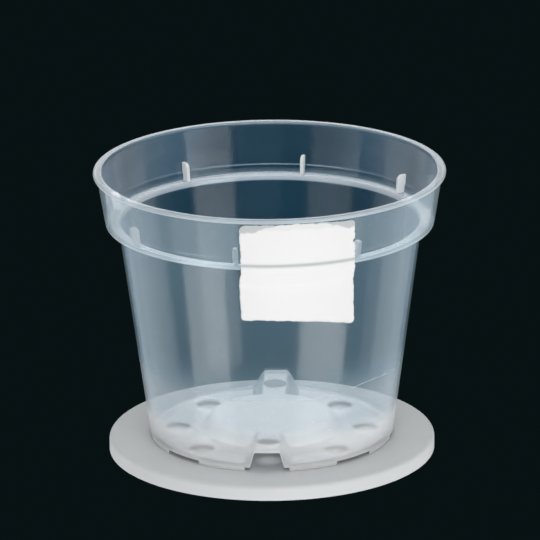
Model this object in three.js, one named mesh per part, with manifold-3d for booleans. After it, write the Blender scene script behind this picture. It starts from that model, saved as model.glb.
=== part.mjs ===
// A clear moulded nursery pot: tapered wall, stacking collar, raised floor with two drain tunnels,
// low foot pads and a blank paper label. Millimetres, +Z up.
// The origin is the middle of the footprint, on the surface that the pot stands on.
// The front faces -Y. Angles around the pot count from the front towards +X, in degrees.

import * as THREE from 'three';
import { mergeVertices } from 'three/addons/utils/BufferGeometryUtils.js';
import Module from 'manifold-3d';

// Facets around the pot
const roundSegments = 72;
const holeSegments = 24;
const cornerSteps = 4;

// Tapered wall
const footRadius = 41.6;
const bodyHeight = 76;
const bodyFlare = 10.15;
const bodyWall = 0.8;

// Ledge between wall and collar. A corner's limit is the share of the thickness that it may round off.
const ledgeWidth = 4.25;
const ledgeThickness = 0.9;
const ledgeCorner = 0.5;
const ledgeCornerLimit = 0.8;

// Collar, thicker towards the lip, with a slightly thicker band above the ledge
const collarHeight = 17.2;
const collarFlare = 2.7;
const collarWall = 1;
const collarTopWall = 2.1;
const collarBandHeight = 3.7;
const collarBandExtra = 0.25;

// Lip
const lipOverhang = 1.3;
const lipThickness = 1.3;
const lipCorner = 0.55;
const lipCornerLimit = 0.45;

// Stacking nibs: upright gussets on the ledge
const nibCount = 8;
const nibFirstAngle = -10;
const nibThickness = 1.2;
const nibHeight = 6.3;
const nibDepth = 2.6;
const nibChamfer = 1.1;
const nibDraft = 0.5;

// Floor: low gutter around a raised plateau
const padHeight = 1.3;
const floorThickness = 0.7;
const gutterWidth = 17.6;
const plateauRise = 4.6;
const plateauSkirtRun = 2.4;

// Drain holes in the gutter, at every eighth of a turn that a tunnel leaves free
const gutterHoleRadius = 4.1;
const gutterHoleAngles = [45, 90, 135];

// Drain tunnels from the plateau to the wall notches at the front and the back
const notchHeight = 6.9;
const notchTopWidth = 8.6;
const notchBottomWidth = 12.2;
const hoodHoleRadius = 3.9;
const hoodHoleInset = 11.7;
const hoodJoint = 0.6;
const hoodFootFlare = 1.6;

// Foot pads
const padCount = 8;
const padFirstAngle = 22.5;
const padSpan = 24;
const padDepth = 4.2;

// Paper label, cut by hand, stuck on a little askew, and free of the ledge's hollow corner
const labelAngle = 12.6;
const labelWidth = 39.2;
const labelHeight = 36.5;
const labelTopGap = 0.6;
const labelTopFall = 0.3;
const labelTopBow = 0.4;
const labelBottomFall = 3.7;
const labelBottomBow = 1.4;
const labelLean = 2;
const labelBridge = 7;
const labelThickness = 0.25;
const labelEdgeSteps = 6;

// Tone and opacity of each stretch of the moulding, its gloss, and the paper
const lipTone = [0xb4c2ca, 0.7];
const collarTone = [0x8a9ca6, 0.45];
const ledgeTone = [0xc0ccd4, 0.75];
const nibTone = [0xc8d4da, 0.8];
const wallTone = [0x7d929e, 0.4];
const gutterTone = [0xcbd2d6, 0.75];
const plateauTone = [0xd2d8db, 0.8];
const hoodTone = [0xc6ced3, 0.75];
const padTone = [0xc8d0d4, 0.75];
const plasticRoughness = 0.22;
const paperColor = 0xf6f4f1;
const paperRoughness = 0.85;

// Clearances
const fitGap = 0.3;
const glueGap = 0.2;
const cutMargin = 5;

// Sizes that follow from the ones above
const bodyTopRadius = footRadius + bodyFlare;
const collarFootRadius = bodyTopRadius + ledgeWidth;
const collarTopRadius = collarFootRadius + collarFlare;
const lipRadius = collarTopRadius + lipOverhang;
const ledgeTop = bodyHeight + ledgeThickness;
const lipBottom = bodyHeight + collarHeight;
const potHeight = lipBottom + lipThickness;
const floorTop = padHeight + floorThickness;
const plateauTop = floorTop + plateauRise;

const bodyOuter = (z) => footRadius + bodyFlare * z / bodyHeight;
const bodyInner = (z) => bodyOuter(z) - bodyWall;
const collarOuter = (z) => collarFootRadius + collarFlare * (z - bodyHeight) / collarHeight;
const collarGrowth = (collarTopWall - collarWall) / collarHeight;
const collarInner = (z) => collarOuter(z) - collarWall - collarGrowth * (z - bodyHeight);

const skirtFootRadius = bodyInner(floorTop) - gutterWidth;
const plateauRadius = skirtFootRadius - plateauSkirtRun;
const gutterMidRadius = skirtFootRadius + gutterWidth / 2;
const skirtInner = (z) => skirtFootRadius - floorThickness - plateauSkirtRun * (z - floorTop) / plateauRise;

const radians = THREE.MathUtils.degToRad;
const wasm = await Module();
wasm.setup();

// Makes a closed geometry into a solid that can be joined and cut.
function toSolid(geometry) {
  const bare = geometry.clone();
  bare.deleteAttribute('normal');
  bare.deleteAttribute('uv');
  const merged = mergeVertices(bare);
  const corners = merged.index.array;
  const triangles = [];
  for (let i = 0; i < corners.length; i += 3) {
    const [a, b, c] = corners.slice(i, i + 3);
    if (a !== b && b !== c && c !== a) {
      triangles.push(a, b, c);
    }
  }
  return new wasm.Manifold(new wasm.Mesh({
    numProp: 3,
    vertProperties: new Float32Array(merged.attributes.position.array),
    triVerts: new Uint32Array(triangles),
  }));
}

// Makes a solid into a geometry again.
function toGeometry(solid) {
  const mesh = solid.getMesh();
  const geometry = new THREE.BufferGeometry();
  geometry.setAttribute('position', new THREE.BufferAttribute(mesh.vertProperties, 3));
  geometry.setIndex(new THREE.BufferAttribute(mesh.triVerts, 1));
  geometry.computeVertexNormals();
  return geometry;
}

// A solid turned around the pot's axis from [radius, height] points, with the material on their left.
function turned(points) {
  const profile = points.map(([radius, height]) => new THREE.Vector2(radius, height));
  const lathe = new THREE.LatheGeometry(profile, roundSegments);
  lathe.rotateX(Math.PI / 2);
  return toSolid(lathe);
}

// A ring whose [radius, height] section closes on itself.
function ring(points) {
  return turned([...points, points[0]]);
}

// A full round body between two heights, with a straight side.
function plug(lowRadius, low, highRadius, high) {
  return turned([[0, low], [lowRadius, low], [highRadius, high], [0, high]]);
}

// A bar with an [x, z] outline that runs along Y from near to far, where near is the smaller y.
function bar(outline, near, far) {
  const shape = new THREE.Shape(outline.map(([x, z]) => new THREE.Vector2(x, z)));
  const geometry = new THREE.ExtrudeGeometry(shape, { depth: far - near, bevelEnabled: false });
  geometry.rotateX(Math.PI / 2);
  geometry.translate(0, far, 0);
  return geometry;
}

// A block between two corners.
function block([x0, y0, z0], [x1, y1, z1]) {
  const box = new THREE.BoxGeometry(x1 - x0, y1 - y0, z1 - z0);
  box.translate((x0 + x1) / 2, (y0 + y1) / 2, (z0 + z1) / 2);
  return toSolid(box);
}

// An upright round drill at an angle and a distance from the axis.
function drill(radius, angle, distance, low, high) {
  const cylinder = new THREE.CylinderGeometry(radius, radius, high - low, holeSegments);
  cylinder.rotateX(Math.PI / 2);
  cylinder.translate(0, -distance, (low + high) / 2);
  cylinder.rotateZ(radians(angle));
  return toSolid(cylinder);
}

// Points of a rounded section corner: an arc around its centre between two directions.
function corner(centreRadius, centreHeight, round, fromAngle, toAngle) {
  return Array.from({ length: cornerSteps + 1 }, (_, i) => {
    const turn = radians(fromAngle + (toAngle - fromAngle) * i / cornerSteps);
    return [centreRadius + round * Math.cos(turn), centreHeight + round * Math.sin(turn)];
  });
}

// Flange around the mouth, rounded where hands and water meet it.
function rimLip() {
  const inner = collarInner(lipBottom);
  const round = Math.min(lipCorner, lipThickness * lipCornerLimit);
  return ring([
    [inner, lipBottom],
    ...corner(lipRadius - round, lipBottom + round, round, -90, 0),
    ...corner(lipRadius - round, potHeight - round, round, 0, 90),
    ...corner(inner + round, potHeight - round, round, 90, 180),
  ]);
}

// Tapered band under the lip. Its lower stretch is a little thicker, which leaves a thin line inside.
function rimCollar() {
  const bandTop = bodyHeight + collarBandHeight;
  return ring([
    [collarInner(ledgeTop) - collarBandExtra, ledgeTop],
    [collarOuter(ledgeTop), ledgeTop],
    [collarOuter(lipBottom), lipBottom],
    [collarInner(lipBottom), lipBottom],
    [collarInner(bandTop), bandTop],
    [collarInner(bandTop) - collarBandExtra, bandTop],
  ]);
}

// Flat shoulder that carries the collar and the nibs.
function stackingLedge() {
  const round = Math.min(ledgeCorner, ledgeThickness * ledgeCornerLimit);
  const inner = bodyInner(bodyHeight);
  return ring([
    [inner, bodyHeight],
    ...corner(collarOuter(bodyHeight) - round, bodyHeight + round, round, -90, 0),
    [collarOuter(ledgeTop), ledgeTop],
    ...corner(inner + round, ledgeTop - round, round, 90, 180),
  ]);
}

// Upright gusset on the ledge, set just clear of the collar's inner face.
function stackingNib(angle) {
  const bandTop = bodyHeight + collarBandHeight;
  const top = ledgeTop + nibHeight;
  const back = (z) => collarInner(z) - fitGap;
  const front = back(ledgeTop) - collarBandExtra - nibDepth;
  const outline = new THREE.Shape([
    [front, ledgeTop],
    [back(ledgeTop) - collarBandExtra, ledgeTop],
    [back(bandTop + fitGap) - collarBandExtra, bandTop + fitGap],
    [back(bandTop + fitGap + collarBandExtra), bandTop + fitGap + collarBandExtra],
    [back(top), top],
    [front + nibDraft + nibChamfer, top],
    [front + nibDraft, top - nibChamfer],
  ].map(([radius, z]) => new THREE.Vector2(radius, z)));
  const plate = new THREE.ExtrudeGeometry(outline, { depth: nibThickness, bevelEnabled: false });
  plate.translate(0, 0, -nibThickness / 2);
  plate.rotateX(Math.PI / 2);
  plate.rotateZ(radians(angle - 90));
  return toSolid(plate);
}

// Section of a tunnel at the wall, grown by a margin on its sides and roof and flared towards its foot.
function tunnelSection(growth, flare) {
  const slope = (notchBottomWidth - notchTopWidth) / 2 / notchHeight;
  const sideways = growth * Math.hypot(1, slope);
  const top = notchHeight + growth;
  const halfWidth = (z) => notchBottomWidth / 2 - slope * z + sideways + flare * (1 - z / top);
  const low = -cutMargin;
  return [
    [-halfWidth(low), low],
    [halfWidth(low), low],
    [halfWidth(top), top],
    [-halfWidth(top), top],
  ];
}

// Tunnel body at the front, tilted so that its roof falls from the notch to the plateau's rim.
function tunnelBody(growth, flare) {
  const wallFace = bodyInner(notchHeight);
  const fall = notchHeight + floorThickness - plateauTop;
  const tilt = Math.atan2(fall, wallFace - plateauRadius);
  const geometry = bar(tunnelSection(growth, flare), -wallFace - cutMargin, -plateauRadius + cutMargin);
  geometry.translate(0, wallFace, -notchHeight);
  geometry.rotateX(-tilt);
  geometry.translate(0, -wallFace, notchHeight);
  return geometry;
}

// The same tunnel at the front and at the back.
function tunnelPair(growth, flare) {
  const front = tunnelBody(growth, flare);
  const back = front.clone().rotateZ(Math.PI);
  return toSolid(front).add(toSolid(back));
}

const reach = lipRadius + cutMargin;
const tunnelHollow = tunnelPair(0, 0);
const tunnelShell = tunnelPair(floorThickness, hoodFootFlare);
const aboveFloor = block([-reach, -reach, floorTop], [reach, reach, bodyHeight]);
const hoodInnerPlane = skirtFootRadius + hoodJoint;
const tunnelHalfWidth = notchBottomWidth / 2 + floorThickness + hoodFootFlare;
const hoodOuterPlane = Math.sqrt(bodyInner(floorTop) ** 2 - tunnelHalfWidth ** 2) - hoodJoint;

// Tapered wall with the two notches and the short mouths of the tunnels.
function bodyWallSolid() {
  const wall = ring([
    [bodyInner(floorTop), floorTop],
    [bodyOuter(floorTop), floorTop],
    [bodyOuter(bodyHeight), bodyHeight],
    [bodyInner(bodyHeight), bodyHeight],
  ]);
  const inside = plug(bodyOuter(floorTop), floorTop, bodyOuter(bodyHeight), bodyHeight);
  const middle = block([-reach, -hoodOuterPlane, -reach], [reach, hoodOuterPlane, reach]);
  const mouths = tunnelShell.intersect(inside).subtract(middle);
  return wall.add(mouths).subtract(tunnelHollow);
}

// Half of the gutter ring, on the side of the given sign of x, with its drain holes.
function gutterFloor(side) {
  const innerEdge = skirtInner(floorTop);
  const plate = ring([
    [innerEdge, padHeight],
    [bodyOuter(padHeight), padHeight],
    [bodyOuter(floorTop), floorTop],
    [innerEdge, floorTop],
  ]);
  const half = block([Math.min(0, side * reach), -reach, -reach], [Math.max(0, side * reach), reach, reach]);
  const drilled = gutterHoleAngles.reduce(
    (solid, angle) => solid.subtract(drill(gutterHoleRadius, side * angle, gutterMidRadius, 0, plateauTop)),
    plate.intersect(half),
  );
  return drilled.subtract(tunnelHollow);
}

// Raised middle of the floor, open underneath and towards both tunnels.
function floorPlateau() {
  const dome = plug(skirtFootRadius, floorTop, plateauRadius, plateauTop);
  const ceiling = plateauTop - floorThickness;
  const hollow = plug(skirtInner(0), 0, skirtInner(ceiling), ceiling);
  const middle = block([-reach, -hoodInnerPlane, -reach], [reach, hoodInnerPlane, reach]);
  const stubs = tunnelShell.intersect(aboveFloor).intersect(middle);
  return dome.add(stubs).subtract(hollow).subtract(tunnelHollow);
}

// Tunnel roof and sides between plateau and wall, with a drain hole in the roof.
function drainHood(angle) {
  const stretch = block([-reach, -hoodOuterPlane, floorTop], [reach, -hoodInnerPlane, bodyHeight]);
  const holeRadius = bodyInner(notchHeight) - hoodHoleInset;
  const hood = tunnelShell.intersect(stretch)
    .subtract(tunnelHollow)
    .subtract(drill(hoodHoleRadius, 0, holeRadius, 0, bodyHeight));
  return toSolid(toGeometry(hood).rotateZ(radians(angle)));
}

// Wedge-shaped block around an angle, from the axis outwards.
function wedge(angle, span, low, high) {
  const half = radians(span / 2);
  const shape = new THREE.Shape([
    new THREE.Vector2(0, 0),
    new THREE.Vector2(-reach * Math.sin(half), -reach * Math.cos(half)),
    new THREE.Vector2(reach * Math.sin(half), -reach * Math.cos(half)),
  ]);
  const geometry = new THREE.ExtrudeGeometry(shape, { depth: high - low, bevelEnabled: false });
  geometry.translate(0, 0, low);
  geometry.rotateZ(radians(angle));
  return toSolid(geometry);
}

// Low curved pad under the edge of the floor.
function footPad(angle) {
  const padRing = ring([
    [footRadius - padDepth, 0],
    [bodyOuter(0), 0],
    [bodyOuter(padHeight), padHeight],
    [footRadius - padDepth, padHeight],
  ]);
  return padRing.intersect(wedge(angle, padSpan, -cutMargin, padHeight + cutMargin));
}

// Round body at an even distance outside wall and collar, with a straight slope between them.
function wrapBody(distance) {
  const slopeFoot = bodyHeight - labelBridge;
  const slopeTop = bodyHeight - distance;
  return turned([
    [0, 0],
    [bodyOuter(0) + distance, 0],
    [bodyOuter(slopeFoot) + distance, slopeFoot],
    [collarOuter(slopeTop) + distance, slopeTop],
    [collarOuter(lipBottom) + distance, lipBottom],
    [0, lipBottom],
  ]);
}

// One long edge of the label: it starts at a height, falls along the width and bows up in the middle.
function labelEdge(shift, start, fall, bow) {
  return Array.from({ length: labelEdgeSteps + 1 }, (_, i) => {
    const share = i / labelEdgeSteps;
    return [shift + labelWidth * (share - 0.5), start - fall * share + 4 * bow * share * (1 - share)];
  });
}

// Paper sheet that clings to collar and wall.
function paperLabel() {
  const top = lipBottom - labelTopGap;
  const lean = labelLean / 2;
  const upper = labelEdge(-lean, top, labelTopFall, labelTopBow);
  const lower = labelEdge(lean, top - labelHeight, labelBottomFall, labelBottomBow);
  const sheet = bar([...lower, ...upper.reverse()], -reach, 0);
  sheet.rotateZ(radians(labelAngle));
  return wrapBody(glueGap + labelThickness).subtract(wrapBody(glueGap)).intersect(toSolid(sheet));
}

// Clear plastic, a little milky, in one of the moulding's tones.
function clearPlastic([color, opacity]) {
  return new THREE.MeshStandardMaterial({
    color,
    opacity,
    transparent: true,
    roughness: plasticRoughness,
    metalness: 0,
  });
}

// Matte white paper.
function paper() {
  return new THREE.MeshStandardMaterial({ color: paperColor, roughness: paperRoughness, metalness: 0 });
}

const pot = new THREE.Group();

// Adds a named sub-part with its own material.
function place(name, solid, material) {
  const mesh = new THREE.Mesh(toGeometry(solid), material);
  mesh.name = name;
  pot.add(mesh);
}

place('rim_lip', rimLip(), clearPlastic(lipTone));
place('rim_collar', rimCollar(), clearPlastic(collarTone));
place('stacking_ledge', stackingLedge(), clearPlastic(ledgeTone));
for (let i = 0; i < nibCount; i += 1) {
  const angle = nibFirstAngle + i * 360 / nibCount;
  place(`stacking_nib_${i + 1}`, stackingNib(angle), clearPlastic(nibTone));
}
place('body_wall', bodyWallSolid(), clearPlastic(wallTone));
place('gutter_floor_left', gutterFloor(-1), clearPlastic(gutterTone));
place('gutter_floor_right', gutterFloor(1), clearPlastic(gutterTone));
place('floor_plateau', floorPlateau(), clearPlastic(plateauTone));
place('drain_hood_front', drainHood(0), clearPlastic(hoodTone));
place('drain_hood_back', drainHood(180), clearPlastic(hoodTone));
for (let i = 0; i < padCount; i += 1) {
  const angle = padFirstAngle + i * 360 / padCount;
  place(`foot_pad_${i + 1}`, footPad(angle), clearPlastic(padTone));
}
place('label', paperLabel(), paper());

export default pot;
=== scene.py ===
"""A clear moulded nursery pot with a blank paper label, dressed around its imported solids.

The classes hold their sizes in millimetres and degrees. Meshes, lamps and the camera are in metres.
The front of the pot faces -Y. Angles around it count from the front towards +X.
"""

import logging
import math
from dataclasses import dataclass, field
from enum import Enum

import bmesh
import bpy
import numpy as np
from bpy.types import Material, Mesh, Node, NodeSocket, NodeTree, Object
from mathutils import Euler, Matrix, Vector


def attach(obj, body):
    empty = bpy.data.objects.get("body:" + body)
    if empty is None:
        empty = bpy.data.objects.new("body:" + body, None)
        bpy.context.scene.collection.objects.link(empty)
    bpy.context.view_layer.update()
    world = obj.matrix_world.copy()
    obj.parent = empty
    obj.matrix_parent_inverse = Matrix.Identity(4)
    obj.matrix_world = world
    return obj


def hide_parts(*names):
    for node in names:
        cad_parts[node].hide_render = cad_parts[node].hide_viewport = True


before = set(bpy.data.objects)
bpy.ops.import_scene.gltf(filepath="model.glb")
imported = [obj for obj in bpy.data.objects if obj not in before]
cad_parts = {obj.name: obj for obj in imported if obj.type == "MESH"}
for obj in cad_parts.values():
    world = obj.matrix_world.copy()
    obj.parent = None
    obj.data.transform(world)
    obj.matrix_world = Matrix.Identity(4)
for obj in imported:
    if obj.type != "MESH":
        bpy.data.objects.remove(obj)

MM = 0.001
TINY = 1e-9
BODY = "root"
AIM_HEIGHT = 47.0
BEVEL_ANGLE = 30.0
SHARP_ANGLE = 40.0
Color = tuple[float, float, float]
Point = tuple[float, float]
Face = tuple[int, ...]
Array = np.ndarray
Numbers = Array | float
Kinds = dict[str, str]
Sockets = dict[str, NodeSocket]
RING_INPUTS: Kinds = {"Shape": "Object", "Count": "Int", "First": "Float", "Skip": "Int"}
log = logging.getLogger("flower_pot")


class Slot(Enum):
    """Material slots of the record."""

    PLASTIC = "clear_plastic"
    PAPER = "label_paper"


class Ray(Enum):
    """Ray kinds that see the backdrop instead of the room's light."""

    CAMERA = "Is Camera Ray"
    GLOSSY = "Is Glossy Ray"
    TRANSMISSION = "Is Transmission Ray"


class Cut(Enum):
    """What a ring of copies does to the moulding."""

    JOIN = "UNION"
    REMOVE = "DIFFERENCE"


def smooth_min(a: Numbers, b: Numbers, reach: Numbers) -> Array:
    """Takes the lower of two heights, with a round transition.

    Args:
        a: First heights.
        b: Second heights.
        reach: Height difference at which the rounding starts.

    Returns:
        The blended heights.
    """
    mix = np.maximum(reach - np.abs(a - b), 0.0) / reach
    return np.minimum(a, b) - mix * mix * reach / 4


def smooth_max(a: Numbers, b: Numbers, reach: Numbers) -> Array:
    """Takes the higher of two heights, with a round transition."""
    return -smooth_min(-a, -b, reach)


def smooth_step(low: float, high: float, value: Array) -> Array:
    """Rises smoothly from 0 at low to 1 at high."""
    t = np.clip((value - low) / (high - low), 0.0, 1.0)
    return t * t * (3 - 2 * t)


def arc(centre: Point, radius: float, start: float, end: float, steps: int) -> list[Point]:
    """Lists points of a rounded corner in a (radius, height) section, from start to end in degrees."""
    turns = [math.radians(start + (end - start) * i / steps) for i in range(steps + 1)]
    return [(centre[0] + radius * math.cos(t), centre[1] + radius * math.sin(t)) for t in turns]


def loft(rows: int, count: int, first: int = 0, caps: bool = True) -> list[Face]:
    """Lists the faces between rows of points that each run around once.

    Args:
        rows: Number of rows.
        count: Points in each row.
        first: Number of the first point.
        caps: Whether the first and the last row are closed with a face.

    Returns:
        Point numbers of each face.
    """
    faces: list[Face] = []
    for row in range(rows - 1):
        a, b = first + row * count, first + (row + 1) * count
        faces += [(a + i, b + i, b + (i + 1) % count, a + (i + 1) % count) for i in range(count)]
    if caps:
        last = first + (rows - 1) * count
        faces += [tuple(range(first, first + count)), tuple(range(last, last + count))[::-1]]
    return faces


def mesh_from(name: str, points: Array, faces: list[Face], bevel: float = 0.0, steps: int = 1) -> Mesh:
    """Makes a closed mesh with its faces outwards and, where asked, its sharp edges rounded.

    Args:
        name: Name of the mesh.
        points: Points in millimetres, one row each.
        faces: Point numbers of each face.
        bevel: Width of the rounding in millimetres, or 0 for none.
        steps: Stretches of the rounding.

    Returns:
        The mesh, in metres.
    """
    mesh = bpy.data.meshes.new(name)
    mesh.from_pydata((np.asarray(points) * MM).tolist(), [], faces)
    mesh.validate()
    work = bmesh.new()
    work.from_mesh(mesh)
    bmesh.ops.recalc_face_normals(work, faces=work.faces[:])
    if bevel:
        sharp = [e for e in work.edges if e.calc_face_angle(0.0) > math.radians(BEVEL_ANGLE)]
        bmesh.ops.bevel(work, geom=sharp, offset=bevel * MM, segments=steps, profile=0.5, affect="EDGES")
        bmesh.ops.recalc_face_normals(work, faces=work.faces[:])
    work.to_mesh(mesh)
    work.free()
    return mesh


def add_object(name: str, data: bpy.types.ID) -> Object:
    """Puts a mesh, lamp or camera into the scene as an object.

    Args:
        name: Name of the object.
        data: The mesh, lamp or camera.

    Returns:
        The object, at the origin.
    """
    piece = bpy.data.objects.new(name, data)
    bpy.context.scene.collection.objects.link(piece)
    return piece


def dress_mesh(mesh: Mesh, material: Material, sharp: float = SHARP_ANGLE) -> None:
    """Gives a mesh its only material and smooth shading.

    Args:
        mesh: The mesh.
        material: The material.
        sharp: Edges that turn by more than this many degrees stay sharp.
    """
    mesh.materials.clear()
    mesh.materials.append(material)
    mesh.shade_smooth()
    mesh.set_sharp_from_angle(angle=math.radians(sharp))


def store(mesh: Mesh, name: str, domain: str, values: Array) -> None:
    """Stores one number for each point or face corner of a mesh."""
    layer = mesh.attributes.new(name, "FLOAT", domain)
    layer.data.foreach_set("value", values.astype(np.float32))


def read(items: bpy.types.bpy_prop_collection, name: str, kind: type, width: int) -> Array:
    """Reads one property of all points, corners or faces of a mesh.

    Args:
        items: The points, corners or faces.
        name: Blender's name of the property.
        kind: Type of its numbers.
        width: Count of its numbers.

    Returns:
        The values, one row each.
    """
    values = np.empty(len(items) * width, kind)
    items.foreach_get(name, values)
    return values.reshape(-1, width)


@dataclass(frozen=True)
class Corners:
    """Where the face corners of a mesh are, and which way their faces look."""

    place: Array
    middle: Array
    normal: Array

    @classmethod
    def of(cls, mesh: Mesh) -> "Corners":
        """Reads the corners of a mesh.

        Args:
            mesh: The mesh, in metres.

        Returns:
            Corners with their places and the middles of their faces in millimetres.
        """
        number = read(mesh.loops, "vertex_index", int, 1)[:, 0]
        totals = read(mesh.polygons, "loop_total", int, 1)[:, 0]
        place = read(mesh.vertices, "co", float, 3)[number] / MM
        middle = np.repeat(read(mesh.polygons, "center", float, 3) / MM, totals, axis=0)
        return cls(place, middle, np.repeat(read(mesh.polygons, "normal", float, 3), totals, axis=0))


class Value:
    """What a node gives, to calculate with in plain notation."""

    def __init__(self, work: "NodeWork", socket: NodeSocket) -> None:
        """Takes the tree and the node's output."""
        self.work = work
        self.socket = socket

    def __add__(self, other: object) -> "Value":
        """Adds a value or number."""
        return self.work.math("ADD", self, other)

    def __sub__(self, other: object) -> "Value":
        """Takes a value or number away."""
        return self.work.math("SUBTRACT", self, other)

    def __rsub__(self, other: object) -> "Value":
        """Takes this value away from a number."""
        return self.work.math("SUBTRACT", other, self)

    def __mul__(self, other: object) -> "Value":
        """Multiplies by a value or number."""
        return self.work.math("MULTIPLY", self, other)

    def __truediv__(self, other: object) -> "Value":
        """Divides by a value or number."""
        return self.work.math("DIVIDE", self, other)

    def __pow__(self, other: object) -> "Value":
        """Raises to a power."""
        return self.work.math("POWER", self, other)

    def most(self, other: object) -> "Value":
        """Gives the larger of this and another."""
        return self.work.math("MAXIMUM", self, other)

    def clamp(self) -> "Value":
        """Keeps a calculated value from 0 to 1."""
        self.socket.node.use_clamp = True
        return self


class NodeWork:
    """A node tree under construction, with short calls for nodes and links."""

    def __init__(self, tree: NodeTree) -> None:
        """Takes the tree that the nodes go into."""
        self.tree = tree

    def feed(self, target: NodeSocket, value: object) -> None:
        """Links an output to an input, or sets the input to a constant.

        Args:
            target: The input.
            value: A value, a socket or a constant.
        """
        source = value.socket if isinstance(value, Value) else value
        if isinstance(source, NodeSocket):
            self.tree.links.new(source, target)
        else:
            target.default_value = source

    def node(self, kind: str, *inputs: object, **values: object) -> Node:
        """Adds a node.

        Args:
            kind: Blender's name of the node type.
            inputs: What its first inputs get, in order.
            values: Properties, or what inputs get by name, with blanks as underscores.

        Returns:
            The node.
        """
        made = self.tree.nodes.new(kind)
        for name, value in values.items():
            if hasattr(made, name):
                setattr(made, name, value)
            else:
                self.feed(made.inputs[name.replace("_", " ")], value)
        for slot, value in enumerate(inputs):
            self.feed(made.inputs[slot], value)
        return made

    def output(self, kind: str, name: str, *inputs: object, **values: object) -> Value:
        """Adds a node and gives one of its outputs."""
        return Value(self, self.node(kind, *inputs, **values).outputs[name])

    def math(self, operation: str, first: object, second: object) -> Value:
        """Calculates with two values or numbers."""
        return self.output("ShaderNodeMath", "Value", first, second, operation=operation)

    def vector(self, operation: str, *values: object, name: str = "Vector") -> Value:
        """Calculates with vectors."""
        return self.output("ShaderNodeVectorMath", name, *values, operation=operation)

    def mix(self, factor: object, first: object, second: object) -> Value:
        """Mixes two colours.

        Args:
            factor: 0 for the first colour and 1 for the second.
            first: Value or colour.
            second: Value or colour.

        Returns:
            The mixed colour.
        """
        made = self.node("ShaderNodeMix", factor, data_type="RGBA")
        for slot, value in ((6, first), (7, second)):
            self.feed(made.inputs[slot], (*value, 1.0) if isinstance(value, tuple) else value)
        return Value(self, made.outputs[2])

    def mask(self, group: NodeTree, name: str = "Mask", **values: object) -> Value:
        """Places a node group and gives one of its outputs."""
        return self.output("ShaderNodeGroup", name, node_tree=group, **values)

    def surface(self, **values: object) -> None:
        """Adds the Principled shader, with its inputs by name, and the material's output."""
        shader = self.node("ShaderNodeBsdfPrincipled", **values)
        self.node("ShaderNodeOutputMaterial", Surface=shader.outputs["BSDF"])


def new_tree(
    name: str, kind: str, inputs: Kinds, outputs: Kinds
) -> tuple[NodeWork, dict[str, Value], Sockets]:
    """Starts a node group.

    Args:
        name: Name of the group.
        kind: Blender's name of the tree type.
        inputs: Socket types by input name.
        outputs: Socket types by output name.

    Returns:
        The group's tree, what comes into it and the sockets of what goes out of it, by name.
    """
    tree = bpy.data.node_groups.new(name, kind)
    for way, sockets in (("INPUT", inputs), ("OUTPUT", outputs)):
        for label, socket in sockets.items():
            tree.interface.new_socket(name=label, in_out=way, socket_type=f"NodeSocket{socket}")
    work = NodeWork(tree)
    start, end = work.node("NodeGroupInput"), work.node("NodeGroupOutput")
    sources = {label: Value(work, start.outputs[label]) for label in inputs}
    return work, sources, {label: end.inputs[label] for label in outputs}


class Effects:
    """Shader node groups that the finishes share."""

    speck_crowding: float = 9.0
    speck_size: float = 0.09

    def __init__(self) -> None:
        """Builds each group once."""
        self.mottle = self._mottle()
        self.streaks = self._streaks()
        self.scratch = self._scratch()

    def _mottle(self) -> NodeTree:
        """Builds soft cloudiness with fine specks on it.

        Returns:
            Group with a Mask of about 0.5 plus or minus the contrast, and Specks near 0 with rare ones.
        """
        inputs = {"Vector": "Vector", "Scale": "Float", "Contrast": "Float"}
        outputs = {"Mask": "Float", "Specks": "Float"}
        tree, start, end = new_tree("soft_mottle", "ShaderNodeTree", inputs, outputs)
        place, scale = start["Vector"], start["Scale"]
        look = {"Scale": scale, "Detail": 4.0, "Roughness": 0.55}
        cloud = tree.output("ShaderNodeTexNoise", "Fac", Vector=place, **look)
        crowded = scale * self.speck_crowding
        distance = tree.output("ShaderNodeTexVoronoi", "Distance", Vector=place, Scale=crowded)
        tree.feed(end["Mask"], ((cloud - 0.5) * start["Contrast"] + 0.5).clamp())
        tree.feed(end["Specks"], tree.math("LESS_THAN", distance, self.speck_size))
        return tree.tree

    def _streaks(self) -> NodeTree:
        """Builds upright streaks, drawn out along Z, as flowing plastic or paper fibres leave them.

        Returns:
            Group with a Mask from 0 to 1.
        """
        inputs = {"Vector": "Vector", "Scale": "Float", "Stretch": "Float"}
        tree, start, end = new_tree("drawn_streaks", "ShaderNodeTree", inputs, {"Mask": "Float"})
        axis = tree.output("ShaderNodeCombineXYZ", "Vector", 1.0, 1.0, start["Stretch"])
        pulled = tree.vector("MULTIPLY", start["Vector"], axis)
        look = {"Scale": start["Scale"], "Detail": 3.0, "Roughness": 0.5}
        tree.feed(end["Mask"], tree.output("ShaderNodeTexNoise", "Fac", Vector=pulled, **look))
        return tree.tree

    def _scratch(self) -> NodeTree:
        """Builds a fine line between two points on a surface.

        Returns:
            Group with a Mask of 1 on the line and 0 beside it.
        """
        inputs = {"Vector": "Vector", "Start": "Vector", "End": "Vector", "Width": "Float"}
        tree, start, end = new_tree("scratch_line", "ShaderNodeTree", inputs, {"Mask": "Float"})
        along = tree.vector("SUBTRACT", start["End"], start["Start"])
        away = tree.vector("SUBTRACT", start["Vector"], start["Start"])
        reach = tree.vector("DOT_PRODUCT", away, along, name="Value")
        share = (reach / tree.vector("DOT_PRODUCT", along, along, name="Value")).clamp()
        nearest = tree.output("ShaderNodeVectorMath", "Vector", along, operation="SCALE", Scale=share)
        distance = tree.vector("LENGTH", tree.vector("SUBTRACT", away, nearest), name="Value")
        tree.feed(end["Mask"], (1.0 - distance / start["Width"]).clamp())
        return tree.tree


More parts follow.
